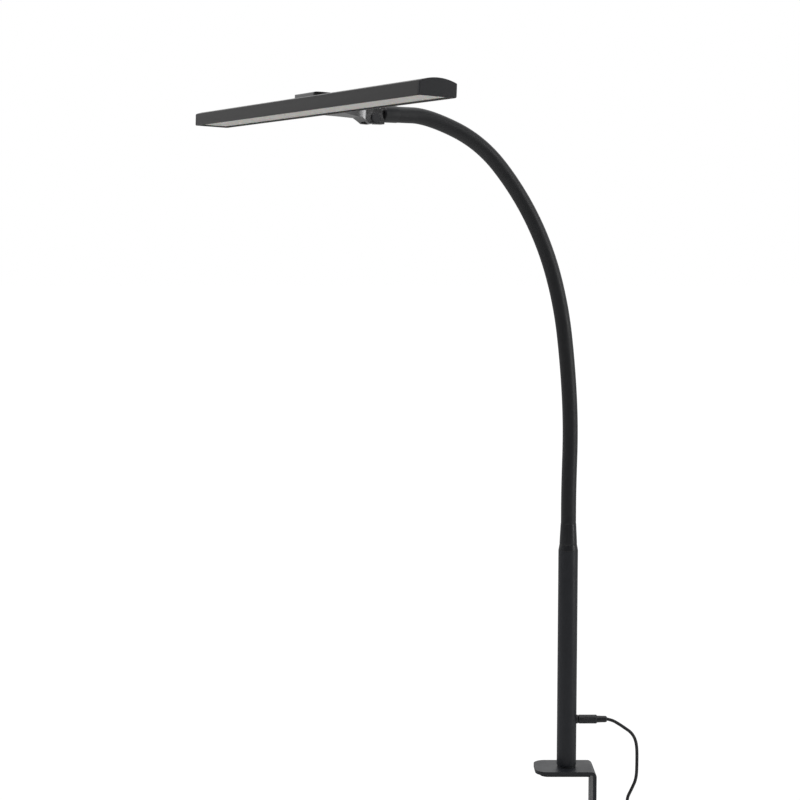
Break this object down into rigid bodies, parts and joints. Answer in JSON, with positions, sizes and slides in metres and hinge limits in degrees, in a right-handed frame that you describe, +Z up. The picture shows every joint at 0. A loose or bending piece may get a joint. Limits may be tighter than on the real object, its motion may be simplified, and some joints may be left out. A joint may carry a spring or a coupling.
{
  "type": "clamp-on task lamp",
  "caption": "Clamp-on LED task lamp: a long flat light bar tilts on a yoke at the end of a flexible neck, above a swivelling pole and a screw clamp.",
  "frame": {"origin": "on the pole's axis at the underside of the clamp's upper pad, where the tabletop's upper face lies", "axes": "+Z up along the pole, -X in over the table, +X out past its edge, -Y towards the light bar's near end"},
  "size_m": [0.5381, 0.4711, 0.9635],
  "materials": {
    "black_powder_coat": "fine satin powder coat",
    "dark_metal": "turned and satin black anodised",
    "polished_gunmetal": "polished casting under a smoked clear coat",
    "dark_anodised": "satin anodised extrusion",
    "plain_aluminium": "as machined",
    "dark_steel": "blackened and lightly oiled",
    "plated_pins": "bright nickel plate",
    "neck_sheath": "smooth satin sheath",
    "neck_spiral": "dark liner over the steel spiral",
    "black_plastic": "fine spark-eroded texture",
    "black_rubber": "matt",
    "cord_jacket": "soft satin vinyl",
    "lead_sheath": "matt vinyl",
    "opal_acrylic": "opal, satin outer face",
    "white_nylon": "natural nylon",
    "white_board": "white solder mask",
    "led_phosphor": "yellow phosphor",
    "green_board": "green solder mask"
  },
  "bodies": {
    "clamp": {"clamp_bracket": "black_powder_coat", "upper_pad": "black_rubber", "jaw_bush": "black_plastic"},
    "pad": {"pressure_plate": "dark_steel", "lower_pad": "black_rubber"},
    "screw": {"clamp_screw": "dark_steel", "clamp_knob": "black_plastic"},
    "pole": {"pole_tube": "black_powder_coat", "pole_foot": "plain_aluminium", "swivel_bolt": "dark_steel", "swivel_washer": "black_plastic", "dc_socket": "black_plastic", "pole_lead": "lead_sheath", "pole_collar": "dark_metal", "lower_ferrule": "dark_metal", "neck_sleeve_0": "neck_sheath", "neck_core_0": "neck_spiral", "dc_plug": "black_plastic", "plug_relief": "cord_jacket", "cord_run": "cord_jacket", "cord_coil": "cord_jacket", "cord_tie": "black_plastic", "cord_tail": "cord_jacket", "adapter_relief": "cord_jacket", "adapter_body": "black_plastic", "adapter_pins": "plated_pins"},
    "neck_1": {"neck_sleeve_1": "neck_sheath", "neck_core_1": "neck_spiral"},
    "neck_2": {"neck_sleeve_2": "neck_sheath", "neck_core_2": "neck_spiral"},
    "neck_3": {"neck_sleeve_3": "neck_sheath", "neck_core_3": "neck_spiral"},
    "neck_4": {"neck_sleeve_4": "neck_sheath", "neck_core_4": "neck_spiral"},
    "neck_5": {"neck_sleeve_5": "neck_sheath", "neck_core_5": "neck_spiral"},
    "neck_6": {"neck_sleeve_6": "neck_sheath", "neck_core_6": "neck_spiral"},
    "neck_7": {"neck_sleeve_7": "neck_sheath", "neck_core_7": "neck_spiral"},
    "neck_8": {"neck_sleeve_8": "neck_sheath", "neck_core_8": "neck_spiral", "upper_ferrule": "dark_metal", "hinge_tongue": "polished_gunmetal"},
    "head": {"yoke": "polished_gunmetal", "hinge_bolt": "dark_steel", "hinge_nut": "dark_steel", "hinge_caps": "black_plastic", "friction_washers": "white_nylon", "head_profile": "dark_anodised", "end_cap_near": "black_plastic", "end_cap_far": "black_plastic", "diffuser": "opal_acrylic", "led_board": "white_board", "leds": "led_phosphor", "nut_plate": "plain_aluminium", "yoke_screws": "dark_steel", "dimmer_board": "green_board", "head_lead": "lead_sheath"}
  },
  "joints": [
    {"name": "pole_swivel", "type": "hinge", "parent": "clamp", "child": "pole", "pos_m": [0, 0, 0.0065], "axis": [0, 0, 1], "range_deg": [-90, 90]},
    {"name": "neck_bend_1", "type": "hinge", "parent": "pole", "child": "neck_1", "pos_m": [0, 0, 0.3271], "axis": [0.1736, -0.9848, 0], "range_deg": [-30, 30]},
    {"name": "neck_bend_2", "type": "hinge", "parent": "neck_1", "child": "neck_2", "pos_m": [0.00175, 0.00031, 0.39508], "axis": [0.9847, 0.1736, 0.0175], "range_deg": [-22, 22]},
    {"name": "neck_bend_3", "type": "hinge", "parent": "neck_2", "child": "neck_3", "pos_m": [-0.00233, -0.00041, 0.46295], "axis": [0.1822, -0.9833, 0], "range_deg": [-28, 28]},
    {"name": "neck_bend_4", "type": "hinge", "parent": "neck_3", "child": "neck_4", "pos_m": [-0.01048, -0.00192, 0.53044], "axis": [0.9585, 0.2037, 0.1993], "range_deg": [-22, 22]},
    {"name": "neck_bend_5", "type": "hinge", "parent": "neck_4", "child": "neck_5", "pos_m": [-0.02882, -0.00582, 0.59581], "axis": [0.2504, -0.9681, 0], "range_deg": [-32, 22]},
    {"name": "neck_bend_6", "type": "hinge", "parent": "neck_5", "child": "neck_6", "pos_m": [-0.05973, -0.01381, 0.65585], "axis": [0.7863, 0.2555, 0.5625], "range_deg": [-22, 22]},
    {"name": "neck_bend_7", "type": "hinge", "parent": "neck_6", "child": "neck_7", "pos_m": [-0.10173, -0.02746, 0.70756], "axis": [0.3827, -0.9239, 0], "range_deg": [-38, 10]},
    {"name": "neck_bend_8", "type": "hinge", "parent": "neck_7", "child": "neck_8", "pos_m": [-0.15977, -0.0515, 0.73358], "axis": [0.1707, 0.0958, 0.9807], "range_deg": [-22, 22]},
    {"name": "head_tilt", "type": "hinge", "parent": "neck_8", "child": "head", "pos_m": [-0.21971, -0.08507, 0.72838], "axis": [0.4894, -0.872, -0.0105], "range_deg": [-34, 75]},
    {"name": "jaw_travel", "type": "slide", "parent": "clamp", "child": "pad", "axis": [0, 0, 1], "range_m": [-0.02, 0.04]},
    {"name": "screw_turn", "type": "hinge", "parent": "pad", "child": "screw", "pos_m": [-0.005, 0, -0.11], "axis": [0, 0, 1], "range_deg": [-3605, 7205]}
  ],
  "couplings": [
    {"joint": "screw_turn", "follows": "jaw_travel", "rad_per_m": 3141.6}
  ]
}
